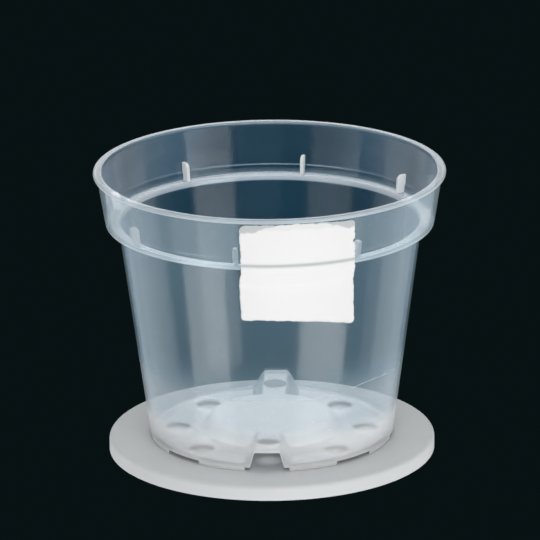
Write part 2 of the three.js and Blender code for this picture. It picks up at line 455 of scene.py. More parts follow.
def new_material(name: str) -> tuple[Material, NodeWork, Value]:
    """Starts a material.

    Args:
        name: Name of the material.

    Returns:
        The material, its tree and the place on the object.
    """
    material = bpy.data.materials.new(name)
    material.use_nodes = True
    material.node_tree.nodes.clear()
    tree = NodeWork(material.node_tree)
    return material, tree, tree.output("ShaderNodeTexCoord", "Object")


@dataclass(frozen=True)
class ClearPlastic:
    """Clear polypropylene: polished inside, scuffed outside, milky white where it is thick, with painted
    light on the collar's inside at the back sides.
    """

    inner_color: Color = (0.01, 0.36, 0.70)
    outer_color: Color = (0.32, 0.55, 0.68)
    edge_color: Color = (0.46, 0.61, 0.73)
    thick_color: Color = (0.89, 0.885, 0.88)
    white: Color = (1.0, 1.0, 1.0)
    inner_alpha: float = 0.11
    scuff_alpha: float = 0.045
    scuff_whiteness: float = 0.16
    scuff_white_from: float = 3.2
    polish: float = 0.66
    scuff_dulling: float = 0.18
    dull_from: float = 4.6
    far_share: float = 0.06
    thick_alpha: float = 0.75
    edge_alpha: float = 0.31
    edge_start: float = 0.12
    edge_power: float = 1.8
    edge_inside: float = 1.4
    ior: float = 1.5
    coat_ior: float = 3.5
    coat_roughness: float = 0.14
    roughness: float = 0.2
    roughness_range: float = 0.06
    thick_roughness: float = 0.16
    flow_low: float = 0.92
    flow_range: float = 0.16
    cloud_whiteness: float = 0.12
    speck_strength: float = 0.25
    mark_height: float = 0.4
    depth_and_light_layer: str = "depth"
    scuff_layer: str = "scuff"
    scratch_width: float = 0.00022
    scratch_strength: float = 0.8
    scratch: tuple[Color, ...] = (
        (0.02865, -0.03511, 0.02798), (0.03196, -0.03226, 0.02862), (0.03559, -0.02828, 0.02887),
        (0.03921, -0.02293, 0.02867), (0.04247, -0.01596, 0.02828),
    )

    def material(self, effects: Effects) -> Material:
        """Builds the material.

        Args:
            effects: The shared node groups.

        Returns:
            The material.
        """
        material, tree, place = new_material("clear_polypropylene")
        cloudiness = {"Vector": place, "Scale": 55.0, "Contrast": 0.9}
        cloud = tree.mask(effects.mottle, **cloudiness)
        flow = tree.mask(effects.streaks, Vector=place, Scale=90.0, Stretch=0.12)
        swell = tree.output("ShaderNodeTexNoise", "Fac", Vector=place, Scale=38.0, Detail=2.0)
        depth = tree.output("ShaderNodeAttribute", "Fac", attribute_name=self.depth_and_light_layer)
        scuff = tree.output("ShaderNodeAttribute", "Fac", attribute_name=self.scuff_layer)
        far_side = tree.output("ShaderNodeNewGeometry", "Backfacing")
        facing = tree.output("ShaderNodeLayerWeight", "Facing", Blend=0.5)
        marks = tree.mask(effects.mottle, "Specks", **cloudiness) * self.speck_strength
        for start, end in zip(self.scratch, self.scratch[1:]):
            line = tree.mask(effects.scratch, Vector=place, Start=start, End=end, Width=self.scratch_width)
            marks = marks.most(line * self.scratch_strength)

        # The depth attribute also holds painted light on the collar's inside at the back sides.
        thick = depth.most(marks)
        milky = thick.most(((scuff - self.scuff_white_from) * self.scuff_whiteness).clamp()).clamp()
        clear = 1.0 - far_side * (1 - self.far_share)
        thin = (scuff * self.scuff_alpha + self.inner_alpha) * clear
        edge = ((facing - self.edge_start) / (1 - self.edge_start)).clamp() ** self.edge_power
        rim = edge * self.edge_alpha * ((1.0 - scuff).clamp() * self.edge_inside + 1.0) * clear
        haze = (thick * self.thick_alpha).most(rim) + thin
        skin = tree.mix(scuff, self.inner_color, self.outer_color)
        color = tree.mix(milky, tree.mix(rim / (rim + thin), skin, self.edge_color), self.thick_color)
        polish = tree.math("MINIMUM", ((self.dull_from - scuff) * self.scuff_dulling).clamp(), self.polish)
        rough = cloud * self.roughness_range + thick * self.thick_roughness
        height = swell + marks * self.mark_height
        tree.surface(
            Base_Color=tree.mix(cloud, color, tree.mix(self.cloud_whiteness, color, self.white)),
            Alpha=(haze * (flow * self.flow_range + self.flow_low)).clamp(),
            Roughness=rough + (self.roughness - self.roughness_range / 2),
            Normal=tree.output("ShaderNodeBump", "Normal", Strength=0.12, Distance=0.0006, Height=height),
            Coat_Weight=polish * (1.0 - thick).clamp(),
            Coat_IOR=self.coat_ior,
            Coat_Roughness=self.coat_roughness,
            IOR=self.ior,
        )
        return material


@dataclass(frozen=True)
class LabelPaper:
    """Matte white paper with fibres, a soiled cut edge, a painted shade line along the fold and a painted
    shadow band along the top under the lip.
    """

    color: Color = (0.935, 0.918, 0.913)
    soil_and_shade: Color = (0.44, 0.47, 0.48)
    cloud_soil: float = 0.05
    fibre_soil: float = 0.04
    wear_and_shade_darkening: float = 0.85
    roughness: float = 0.82
    roughness_range: float = 0.12
    wear_and_shade_layer: str = "wear"

    def material(self, effects: Effects) -> Material:
        """Builds the material.

        Args:
            effects: The shared node groups.

        Returns:
            The material.
        """
        material, tree, place = new_material("label_paper")
        cloud = tree.mask(effects.mottle, Vector=place, Scale=120.0, Contrast=0.8)
        fibre = tree.mask(effects.streaks, Vector=place, Scale=1500.0, Stretch=0.35)
        wear = tree.output("ShaderNodeAttribute", "Fac", attribute_name=self.wear_and_shade_layer)
        tone: Color | Value = self.color
        # The last mix darkens the paper by the stored attribute: soil along the cut edge, and painted shade
        # along the crease and along the top under the lip.
        for soil in (cloud * self.cloud_soil, fibre * self.fibre_soil, wear * self.wear_and_shade_darkening):
            tone = tree.mix(soil, tone, self.soil_and_shade)
        tree.surface(
            Base_Color=tone,
            Roughness=fibre * self.roughness_range + (self.roughness - self.roughness_range / 2),
            Normal=tree.output("ShaderNodeBump", "Normal", Strength=0.25, Distance=0.00008, Height=fibre),
        )
        return material


@dataclass(frozen=True)
class PaleFloor:
    """Plain pale board under the pot."""

    color: Color = (0.70, 0.71, 0.71)
    shade: Color = (0.64, 0.65, 0.655)
    roughness: float = 0.7

    def material(self, effects: Effects) -> Material:
        """Builds the material.

        Args:
            effects: The shared node groups.

        Returns:
            The material.
        """
        material, tree, place = new_material("pale_board")
        cloud = tree.mask(effects.mottle, Vector=place, Scale=60.0, Contrast=0.8)
        tree.surface(Base_Color=tree.mix(cloud, self.color, self.shade), Roughness=self.roughness)
        return material


@dataclass
class PotMoulding:
    """The pot's moulding in one skin: wall, ledge, collar, lip, floor, tunnels, nibs and pads."""

    finish: ClearPlastic
    foot_radius: float = 41.6
    body_height: float = 76.0
    body_flare: float = 10.15
    body_wall: float = 0.8
    wall_lean: float = 7.6
    wall_rows: int = 24
    wall_crowding: float = 1.3
    wall_end: float = 1.1
    ledge_width: float = 4.25
    ledge_thickness: float = 0.9
    ledge_corner: float = 0.5
    ledge_line: float = 1.2
    ledge_under_line: float = 1.4
    collar_height: float = 17.2
    collar_flare: float = 2.7
    collar_wall: float = 1.0
    collar_top_wall: float = 2.1
    band_height: float = 3.7
    band_extra: float = 0.25
    band_end: float = 0.4
    lip_overhang: float = 1.3
    lip_thickness: float = 1.3
    lip_corner: float = 0.55
    lip_inner_corner: float = 1.0
    nib_count: int = 8
    nib_first: float = -10.0
    nib_thickness: float = 1.2
    nib_height: float = 6.3
    nib_depth: float = 2.9
    nib_chamfer: float = 1.1
    nib_draft: float = 0.5
    nib_bevel: float = 0.22
    pad_height: float = 1.3
    pad_count: int = 8
    pad_first: float = 22.5
    pad_span: float = 24.0
    pad_depth: float = 4.2
    pad_inset: float = 0.05
    pad_bevel: float = 0.3
    pad_steps: int = 14
    sink: float = 0.35
    floor_thickness: float = 0.7
    gutter_width: float = 17.6
    plateau_rise: float = 4.6
    skirt_run: float = 2.4
    hole_radius: float = 4.1
    hole_places: int = 8
    hole_skip: int = 4
    hole_flare: float = 0.2
    notch_height: float = 6.9
    notch_top: float = 8.6
    notch_bottom: float = 12.2
    hood_count: int = 2
    hood_hole_radius: float = 3.9
    hood_hole_inset: float = 11.7
    hood_flare: float = 1.6
    upper_blends: tuple[float, ...] = (1.6, 1.6, 2.8, 2.2)
    lower_blends: tuple[float, ...] = (1.2, 0.9, 0.9, 0.7)
    least_blend: float = 0.12
    seam_rise: float = 3.0
    floor_fillet: float = 1.7
    foot_fillet: float = 0.6
    small_fillet: float = 0.4
    foot_scuff: float = 0.55
    wall_scuff: float = 1.8
    collar_scuff: float = 2.25
    heel_scuff: float = 4.8
    toe_scuff: float = 4.2
    heel_from: float = 42.0
    heel_full: float = 22.0
    toe_from: float = 17.0
    toe_full: float = 7.0
    lip_haze: float = 0.55
    ledge_haze: float = 0.36
    ledge_inner_haze: float = 0.34
    ledge_outer_haze: float = 0.1
    step_haze: float = 0.35
    # Painted light: milky brightness on the collar's inside at the back, towards the sides.
    mouth_painted_light: float = 0.24
    floor_haze: float = 0.55
    plateau_haze: float = 0.17
    hem_haze: float = 0.5
    hem_limit: float = 14.0
    nib_haze: float = 0.94
    nib_edge_haze: float = 0.06
    nib_flatness: float = 0.97
    nib_skin: float = 0.02
    nib_over: float = 0.1
    outside_tip: float = 0.3
    outside_least: float = 0.1
    tunnel_lines: tuple[float, ...] = (
        0.0, 1.2, 2.4, 3.2, 3.7, 4.0, 4.25, 4.5, 4.75, 5.0, 5.25,
        5.5, 5.75, 6.0, 6.3, 6.6, 6.9, 7.3, 7.7, 8.2, 8.8, 9.6,
    )
    floor_lines: tuple[float, ...] = (
        2.5, 5.5, 8.5, 11.0, 13.5, 15.5, 17.0, 18.2, 19.2, *np.linspace(19.8, 25.0, 15),
        25.8, 27.0, 28.4, 29.8, 31.2, 32.6, 34.0, 35.4, 36.6, 37.6,
    )
    floor_ends: Point = (0.35, 0.7)
    side_lines: int = 82
    bend_radius: float = 12.0
    sharp_angle: float = 34.0
    piece: Object | None = field(default=None, init=False)

    def __post_init__(self) -> None:
        """Works out the sizes that follow from the given ones."""
        self.floor_top = self.pad_height + self.floor_thickness
        self.plateau_top = self.floor_top + self.plateau_rise
        self.ledge_top = self.body_height + self.ledge_thickness
        self.lip_bottom = self.body_height + self.collar_height
        self.pot_height = self.lip_bottom + self.lip_thickness
        self.collar_foot = self.foot_radius + self.body_flare + self.ledge_width
        self.lip_radius = self.collar_foot + self.collar_flare + self.lip_overhang
        self.skirt_foot = self.body_inner(self.floor_top) - self.gutter_width
        self.plateau_radius = self.skirt_foot - self.skirt_run
        self.gutter_middle = self.skirt_foot + self.gutter_width / 2
        self.wall_face = self.body_inner(self.notch_height)
        self.side_slope = (self.notch_bottom - self.notch_top) / 2 / self.notch_height

    def body_outer(self, z: Numbers) -> Numbers:
        """Gives the wall's outer radius at a height."""
        return self.foot_radius + self.body_flare * z / self.body_height

    def body_inner(self, z: Numbers) -> Numbers:
        """Gives the wall's inner radius at a height."""
        return self.body_outer(z) - self.body_wall

    def collar_outer(self, z: Numbers) -> Numbers:
        """Gives the collar's outer radius at a height."""
        return self.collar_foot + self.collar_flare * (z - self.body_height) / self.collar_height

    def collar_inner(self, z: Numbers) -> Numbers:
        """Gives the collar's inner radius at a height."""
        growth = (self.collar_top_wall - self.collar_wall) / self.collar_height
        return self.collar_outer(z) - self.collar_wall - growth * (z - self.body_height)

    def roof_fall(self, run: Numbers) -> Numbers:
        """Gives how far a tunnel's roof has fallen at a distance from the axis."""
        whole = self.notch_height + self.floor_thickness - self.plateau_top
        return whole * (self.wall_face - run) / (self.wall_face - self.plateau_radius)

    def floor_height(self, x: Array, y: Array, upper: bool) -> Array:
        """Gives the height of a floor surface: gutter, skirt, plateau and the drain tunnels' skin.

        Args:
            x: Distances across the tunnels.
            y: Distances along them from the axis.
            upper: Whether this is the floor's upper side.

        Returns:
            Heights. The fillet along a tunnel fades out where its roof meets the plateau.
        """
        inset = 0.0 if upper else self.floor_thickness
        flare = self.hood_flare if upper else 0.0
        crest, heel, ridge, seam = self.upper_blends if upper else self.lower_blends
        run = self.skirt_foot - inset - np.hypot(x, y)
        skirt = self.floor_top + run * self.plateau_rise / self.skirt_run
        base = smooth_max(smooth_min(self.plateau_top - inset, skirt, crest), self.floor_top - inset, heel)
        growth = self.floor_thickness - inset
        fall = self.roof_fall(np.abs(y))
        top = self.notch_height + growth
        half = self.notch_bottom / 2 + growth * math.hypot(1.0, self.side_slope) + flare
        side = (half - np.abs(x)) / (self.side_slope + flare / top) - fall
        share = np.clip((top - fall - base) / self.seam_rise, 0.0, 1.0)
        blend = self.least_blend + (seam - self.least_blend) * share
        return smooth_max(base, smooth_min(top - fall, side, ridge), blend)

    def line_angles(self, radius: Numbers) -> Array:
        """Gives the direction of each upright mesh line at a radius.

        Args:
            radius: One radius, or one for each line.

        Returns:
            Angles in radians. Lines beside the tunnels keep their distance from the tunnels' middle.
        """
        half = np.array(self.tunnel_lines)
        across = np.concatenate([-half[:0:-1], half])
        n, m = len(across), self.side_lines
        radius = np.broadcast_to(np.asarray(radius, float), (2 * (n + m),))
        shrink = np.minimum(1.0, radius / self.bend_radius)
        edge = np.arcsin(half[-1] * shrink / radius)
        share = np.arange(1, m + 1) / (m + 1)
        angles = []
        for start, base in ((0, 0.0), (n + m, np.pi)):
            near, side = slice(start, start + n), slice(start + n, start + n + m)
            angles.append(base + np.arcsin(across * shrink[near] / radius[near]))
            angles.append(base + edge[side] + (np.pi - 2 * edge[side]) * share)
        return np.concatenate(angles)

    def ring(self, radius: Numbers, height: Numbers) -> Array:
        """Lays one row of points around the axis, with one radius and height or one for each line."""
        angle = self.line_angles(radius)
        return np.column_stack([radius * np.sin(angle), -radius * np.cos(angle), 0 * angle + height])

    def floor_rows(self, limit: Array, upper: bool) -> list[Array]:
        """Lays the rows of a floor surface from the middle outwards.

        Args:
            limit: Largest radius for each line.
            upper: Whether this is the floor's upper side.

        Returns:
            Rows of points.
        """
        last = self.floor_lines[-1]
        rows = [self.ring(radius, 0.0) for radius in self.floor_lines]
        rows += [self.ring(last + (limit - last) * share, 0.0) for share in self.floor_ends]
        for row in rows:
            row[:, 2] = self.floor_height(row[:, 0], row[:, 1], upper)
        return rows

    def wall_edge(self, upper: bool) -> Array:
        """Gives the height at which a floor surface meets the wall.

        Args:
            upper: Whether this is the floor's upper side.

        Returns:
            One height for each line.
        """
        face = self.body_inner if upper else self.body_outer
        height: Numbers = self.floor_top if upper else self.pad_height
        for _ in range(2):
            row = self.ring(face(height), 0.0)
            height = self.floor_height(row[:, 0], row[:, 1], upper)
        return height

    def fillet(self, centre: Array, height: Array, radius: float, turns: Array) -> list[Array]:
        """Lays the rows of a rounding about a centre and height for each line, at turns in degrees."""
        ways = np.radians(turns)
        return [self.ring(centre + radius * math.cos(t), height + radius * math.sin(t)) for t in ways]

    def upper_rows(self) -> list[Array]:
        """Lays the inside of the pot: floor, wall, ledge, collar and the top of the lip.

        Returns:
            Rows of points from the middle of the floor to the lip.
        """
        foot = self.wall_edge(upper=True) + self.floor_fillet
        centre = self.body_inner(foot) - self.floor_fillet
        rows = self.floor_rows(centre, upper=True)
        rows += self.fillet(centre, foot, self.floor_fillet, np.linspace(-90, -self.wall_lean, 8))
        top = self.body_height - self.wall_end
        for share in np.linspace(0, 1, self.wall_rows)[1:] ** self.wall_crowding:
            height = foot + (top - foot) * share
            rows.append(self.ring(self.body_inner(height), height))
        height = top + self.wall_end / 2
        rows.append(self.ring(self.body_inner(height), height))
        inner = self.body_inner(self.body_height)
        corner, small = self.ledge_corner, self.small_fillet
        lip, soft = self.lip_corner, self.lip_inner_corner
        band = self.collar_inner(self.ledge_top) - self.band_extra
        step = self.body_height + self.band_height
        step_line = ((-0.35, 1.0), (-0.08, 0.95), (0.0, 0.5), (0.08, 0.05))
        section = [
            *arc((inner + corner, self.ledge_top - corner), corner, 180, 90, 6),
            (inner + corner + self.ledge_line, self.ledge_top),
            *arc((band - small, self.ledge_top + small), small, -90, 0, 5),
            *((self.collar_inner(step + up) - self.band_extra * share, step + up) for up, share in step_line),
            *((self.collar_inner(z), z) for z in np.linspace(step + self.band_end, self.lip_bottom, 9)),
            *arc((self.collar_inner(self.lip_bottom) + soft, self.pot_height - soft), soft, 180, 90, 7),
            *arc((self.lip_radius - lip, self.pot_height - lip), lip, 90, 0, 6),
        ]
        return rows + [self.ring(radius, height) for radius, height in section]

    def lower_rows(self) -> list[Array]:
        """Lays the outside of the pot: under the lip, collar, ledge, wall, and the floor's under side.

        Returns:
            Rows of points from the lip to the middle of the floor.
        """
        lip, small, corner = self.lip_corner, self.small_fillet, self.ledge_corner
        collar_top = self.lip_bottom - small
        collar_low = self.body_height + corner
        wall_top = self.body_height - small
        ledge_edge = self.collar_outer(self.body_height) - corner
        section = [
            *arc((self.lip_radius - lip, self.lip_bottom + lip), lip, 0, -90, 6),
            *arc((self.collar_outer(collar_top) + small, collar_top), small, 90, 180, 4),
            *((self.collar_outer(z), z) for z in np.linspace(collar_top, collar_low, 10)[1:-1]),
            *arc((ledge_edge, collar_low), corner, 0, -90, 6),
            (ledge_edge - self.ledge_under_line, self.body_height),
            *arc((self.body_outer(wall_top) + small, wall_top), small, 90, 180, 4),
        ]
        rows = [self.ring(radius, height) for radius, height in section]
        foot = self.wall_edge(upper=False) + self.foot_fillet
        for share in 1 - np.linspace(1, 0, self.wall_rows)[1:] ** self.wall_crowding:
            height = wall_top + (foot - wall_top) * share
            rows.append(self.ring(self.body_outer(height), height))
        centre = self.body_outer(foot) - self.foot_fillet
        rows += self.fillet(centre, foot, self.foot_fillet, np.linspace(0, -90, 6)[1:])
        return rows + self.floor_rows(centre, upper=False)[::-1]

    def shell_mesh(self) -> Mesh:
        """Builds the closed skin without nibs, pads and drain holes.

        Returns:
            The mesh.
        """
        rows = self.upper_rows() + self.lower_rows()
        count = len(rows[0])
        top = np.array([[0.0, 0.0, self.plateau_top]])
        low = np.array([[0.0, 0.0, self.plateau_top - self.floor_thickness]])
        points = np.concatenate([top, *rows, low])
        last, tip = 1 + (len(rows) - 1) * count, len(points) - 1
        faces: list[Face] = [(0, 1 + i, 1 + (i + 1) % count) for i in range(count)]
        faces += loft(len(rows), count, first=1, caps=False)
        faces += [(last + i, tip, last + (i + 1) % count) for i in range(count)]
        return mesh_from("pot_shell", points, faces)

    def nib_mesh(self) -> Mesh:
        """Builds one stacking nib at the front, sunk a little into ledge and collar.

        Returns:
            The mesh.
        """
        top = self.ledge_top + self.nib_height
        front = self.collar_inner(self.ledge_top) - self.band_extra - self.nib_depth
        outline = [
            (front, self.ledge_top - self.sink),
            (self.collar_inner(self.ledge_top) + self.sink, self.ledge_top - self.sink),
            (self.collar_inner(top) + self.sink, top),
            (front + self.nib_draft + self.nib_chamfer, top),
            (front + self.nib_draft, top - self.nib_chamfer),
        ]
        half = self.nib_thickness / 2
        points = np.array([(x, -radius, z) for x in (-half, half) for radius, z in outline])
        return mesh_from("stacking_nib", points, loft(2, len(outline)), self.nib_bevel, 3)

    def pad_mesh(self) -> Mesh:
        """Builds one foot pad at the front, sunk a little into the floor above it.

        Returns:
            The mesh.
        """
        top = self.pad_height + self.sink
        back = self.foot_radius - self.pad_depth
        outer, outer_top = self.body_outer(0.0) - self.pad_inset, self.body_outer(top) - self.pad_inset
        section = [(back, 0.0), (outer, 0.0), (outer_top, top), (back, top)]
        turns = np.radians(np.linspace(-self.pad_span / 2, self.pad_span / 2, self.pad_steps + 1))
        points = np.array([(r * math.sin(t), -r * math.cos(t), z) for t in turns for r, z in section])
        return mesh_from("foot_pad", points, loft(len(turns), len(section)), self.pad_bevel, 2)

    def hole_mesh(self, name: str, radius: float, distance: float, low: float, high: float) -> Mesh:
        """Builds a drill at the front that leaves rounded edges in a plate.

        Args:
            name: Name of the mesh.
            radius: Radius of the hole.
            distance: Distance of its middle from the pot's axis.
            low: Under side of the plate.
            high: Upper side of the plate.

        Returns:
            The drill's mesh.
        """
        past, around, first = 1.2, 56, 0.02
        wide = radius + self.hole_flare
        levels = [(low - past, wide), (low, wide)]
        for t in (0.12, 0.3, 0.5, 0.7, 0.88):
            levels.append((low + (high - low) * t, radius + self.hole_flare * (2 * t - 1) ** 4))
        levels += [(high, wide), (high + past, wide)]
        turns = np.linspace(0, 2 * np.pi, around, endpoint=False) + first
        points = [(r * math.cos(t), r * math.sin(t) - distance, z) for z, r in levels for t in turns]
        return mesh_from(name, np.array(points), loft(len(levels), around))

    def build(self) -> Object:
        """Builds the moulding as one closed mesh.

        Returns:
            The object.
        """
        shell = add_object("pot_moulding", self.shell_mesh())
        run = self.wall_face - self.hood_hole_inset
        roof = self.notch_height - self.roof_fall(run)
        gutter = (self.hole_radius, self.gutter_middle, self.pad_height, self.floor_top)
        hood = (self.hood_hole_radius, run, roof, roof + self.floor_thickness)
        gutter_drill = self.hole_mesh("gutter_drill", *gutter)
        hood_drill = self.hole_mesh("hood_drill", *hood)
        rings = [
            RingOfCopies("nib", self.nib_mesh(), self.nib_count, self.nib_first, 0, Cut.JOIN),
            RingOfCopies("pad", self.pad_mesh(), self.pad_count, self.pad_first, 0, Cut.JOIN),
            RingOfCopies("gutter hole", gutter_drill, self.hole_places, 0.0, self.hole_skip, Cut.REMOVE),
            RingOfCopies("hood hole", hood_drill, self.hood_count, 0.0, 0, Cut.REMOVE),
        ]
        self.piece = RingWork(rings).apply(shell)
        return self.piece

    def depth_and_light_values(self, corners: Corners) -> Array:
        """Rates how much plastic the eye looks through at each face corner, by ramps in millimetres, and adds
        painted light on the collar's inside at the back sides.

        Args:
            corners: Corners of the finished mesh.

        Returns:
            One value from 0, a thin wall, to 1, a solid edge, for each corner.
        """
        x, y, z = corners.place.T
        r = np.hypot(x, y)
        around = np.maximum(r, TINY)
        from_wall, from_collar = r - self.body_inner(z), r - self.collar_inner(z)
        from_lip = r - self.collar_inner(self.lip_bottom)
        over_body, over_ledge = z - self.body_height, z - self.ledge_top
        lip = self.lip_haze * smooth_step(-0.3, 0.2, z - self.lip_bottom) * smooth_step(0.2, 1.4, from_lip)
        under = smooth_step(-1.05, -0.55, over_body) * (from_wall < 0.3)
        ledge = smooth_step(0.38, 0.02, over_ledge) * np.maximum(smooth_step(-0.4, -0.05, over_body), under)
        across = r - (self.body_inner(self.body_height) + self.collar_inner(self.ledge_top)) / 2
        edges = self.ledge_inner_haze * smooth_step(-0.5, -1.3, across)
        edges += self.ledge_outer_haze * smooth_step(0.5, 1.3, across)
        ledge *= self.ledge_haze + edges
        step = self.step_haze * smooth_step(0.32, 0.1, np.abs(over_body - self.band_height))
        # Painted light on the collar's inside at the back, growing towards the sides; the wall is no thicker
        # there.
        mouth_light = self.mouth_painted_light * smooth_step(0.3, 0.75, np.abs(x) / around) * smooth_step(0, 0.5, y / around)
        mouth_light *= smooth_step(0.4, 3, over_ledge) * (from_collar < 0.2)
        floor = self.floor_haze + self.plateau_haze * smooth_step(0.4, 2.2, z - self.floor_top)
        floor *= smooth_step(3.2, 1.4, z - self.plateau_top) * (from_wall < -0.4)
        hem = self.hem_haze * smooth_step(1.4, 0.3, z - self.floor_height(x, y, upper=False))
        hem *= (from_wall > -0.5) & (z < self.hem_limit)
        return np.max([lip, ledge, step, mouth_light, floor, hem, self.nib_values(corners)], axis=0)

    def nib_values(self, corners: Corners) -> Array:
        """Rates the milkiness of the nibs.

        Args:
            corners: Corners of the finished mesh.

        Returns:
            One value for each corner: 0 off the nibs, and a little more on their rounded edges.
        """
        x, y, z = corners.middle.T
        r = np.hypot(x, y)
        pitch = 360 / self.nib_count
        turn = np.degrees(np.arctan2(x, -y)) - self.nib_first
        nearest = np.round(turn / pitch) * pitch
        across = np.radians(turn - nearest) * r
        axis = np.radians(nearest + self.nib_first)
        nx, ny, nz = corners.normal.T
        shares = [nx * np.sin(axis) - ny * np.cos(axis), nx * np.cos(axis) + ny * np.sin(axis), nz]
        rounded = np.max(np.abs(shares), axis=0) < self.nib_flatness
        band = self.band_extra * (z < self.body_height + self.band_height)
        here = np.abs(across) < self.nib_thickness / 2 + self.nib_skin
        here &= r < self.collar_inner(z) - band - self.nib_skin
        here &= z > self.ledge_top + self.nib_skin
        here &= z < self.ledge_top + self.nib_height + self.nib_over
        return (self.nib_haze + self.nib_edge_haze * rounded) * here

    def scuff_values(self, corners: Corners) -> Array:
        """Rates how dull the surface is at each face corner.

        Args:
            corners: Corners of the finished mesh.

        Returns:
            One value for each corner: 0 inside the pot, and most on the collar and the heel outside.
        """
        z = corners.place[:, 2]
        mx, my, _ = corners.middle.T
        nx, ny, nz = corners.normal.T
        outward = (nx * mx + ny * my) / np.maximum(np.hypot(mx, my), TINY)
        outside = outward - self.outside_tip * nz > self.outside_least
        collar = self.collar_scuff * smooth_step(self.body_height, self.ledge_top, z)
        wall = self.foot_scuff + self.wall_scuff * np.clip(z / self.body_height, 0, 1)
        heel = self.heel_scuff * (1 - smooth_step(self.heel_full, self.heel_from, z))
        toe = self.toe_scuff * (1 - smooth_step(self.toe_full, self.toe_from, z))
        return outside * (wall + collar + heel + toe)

    def dress(self, effects: Effects) -> None:
        """Gives the moulding its finish and ties it to the frame.

        Args:
            effects: The shared node groups.
        """
        mesh = self.piece.data
        corners = Corners.of(mesh)
        store(mesh, self.finish.depth_and_light_layer, "CORNER", self.depth_and_light_values(corners))
        store(mesh, self.finish.scuff_layer, "CORNER", self.scuff_values(corners))
        dress_mesh(mesh, self.finish.material(effects), self.sharp_angle)
        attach(self.piece, BODY)
        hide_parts(*sorted(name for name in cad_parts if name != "label"))


@dataclass
class RingOfCopies:
    """Equal copies of one shape, evenly spaced around the axis."""

    label: str
    shape: Mesh
    count: int
    first: float
    skip: int
    cut: Cut


@dataclass
class RingWork:
    """Geometry Nodes that set rings of copies on a shell, or cut them out of it."""

    rings: list[RingOfCopies]

    def ring_tree(self) -> NodeTree:
        """Builds the node group that makes one ring.

        Returns:
            Group with inputs Shape, Count, First and Skip. With a Skip of n, every nth copy is left out.
        """
        outputs = {"Geometry": "Geometry"}
        work, start, end = new_tree("ring_of_copies", "GeometryNodeTree", RING_INPUTS, outputs)
        index = work.output("GeometryNodeInputIndex", "Index")
        turn = index * work.math("DIVIDE", math.tau, start["Count"]) + start["First"]
        kept = work.math("COMPARE", start["Skip"], 0.0).most(work.math("MODULO", index, start["Skip"]))
        copies = work.node(
            "GeometryNodeInstanceOnPoints",
            Points=work.output("GeometryNodePoints", "Points", Count=start["Count"]),
            Selection=work.math("GREATER_THAN", kept, 0.5),
            Instance=work.output("GeometryNodeObjectInfo", "Geometry", Object=start["Shape"]),
            Rotation=work.output("ShaderNodeCombineXYZ", "Vector", Z=turn),
        )
        real = work.node("GeometryNodeRealizeInstances", Geometry=copies.outputs["Instances"])
        work.feed(end["Geometry"], real.outputs["Geometry"])
        return work.tree

    def apply(self, shell: Object) -> Object:
        """Works the rings into a shell.

        Args:
            shell: Object with a closed mesh.

        Returns:
            The same object with the finished plain mesh.
        """
        inputs = {"Geometry": "Geometry", "Material": "Material"}
        values: dict[str, object] = {}
        for ring in self.rings:
            inputs |= {f"{ring.label} {key}": kind for key, kind in RING_INPUTS.items()}
            settings = (add_object(ring.label, ring.shape), ring.count, math.radians(ring.first), ring.skip)
            values |= {f"{ring.label} {key}": value for key, value in zip(RING_INPUTS, settings)}
        work, start, end = new_tree("pot_features", "GeometryNodeTree", inputs, {"Geometry": "Geometry"})
        ring_tree = self.ring_tree()
        flow: object = start["Geometry"]
        for ring in self.rings:
            named = {key: start[f"{ring.label} {key}"] for key in RING_INPUTS}
            copies = work.node("GeometryNodeGroup", node_tree=ring_tree, **named)
            boolean = work.node("GeometryNodeMeshBoolean", operation=ring.cut.value, solver="MANIFOLD")
            work.feed(boolean.inputs[1 if ring.cut is Cut.JOIN else 0], flow)
            work.feed(boolean.inputs[1], copies.outputs["Geometry"])
            flow = boolean.outputs["Mesh"]
        real = work.node("GeometryNodeRealizeInstances", Geometry=flow).outputs["Geometry"]
        paint = work.node("GeometryNodeSetMaterial", Geometry=real, Material=start["Material"])
        work.feed(end["Geometry"], paint.outputs["Geometry"])
        modifier = shell.modifiers.new("pot_features", "NODES")
        modifier.node_group = work.tree
        for socket in work.tree.interface.items_tree:
            if socket.name in values:
                modifier[socket.identifier] = values[socket.name]
        shell.update_tag()
        graph = bpy.context.evaluated_depsgraph_get()
        plain = bpy.data.meshes.new_from_object(shell.evaluated_get(graph))
        raw = shell.data
        shell.modifiers.remove(modifier)
        shell.data = plain
        plain.name = shell.name
        for mesh in (raw, *(ring.shape for ring in self.rings)):
            bpy.data.meshes.remove(mesh)
        return shell


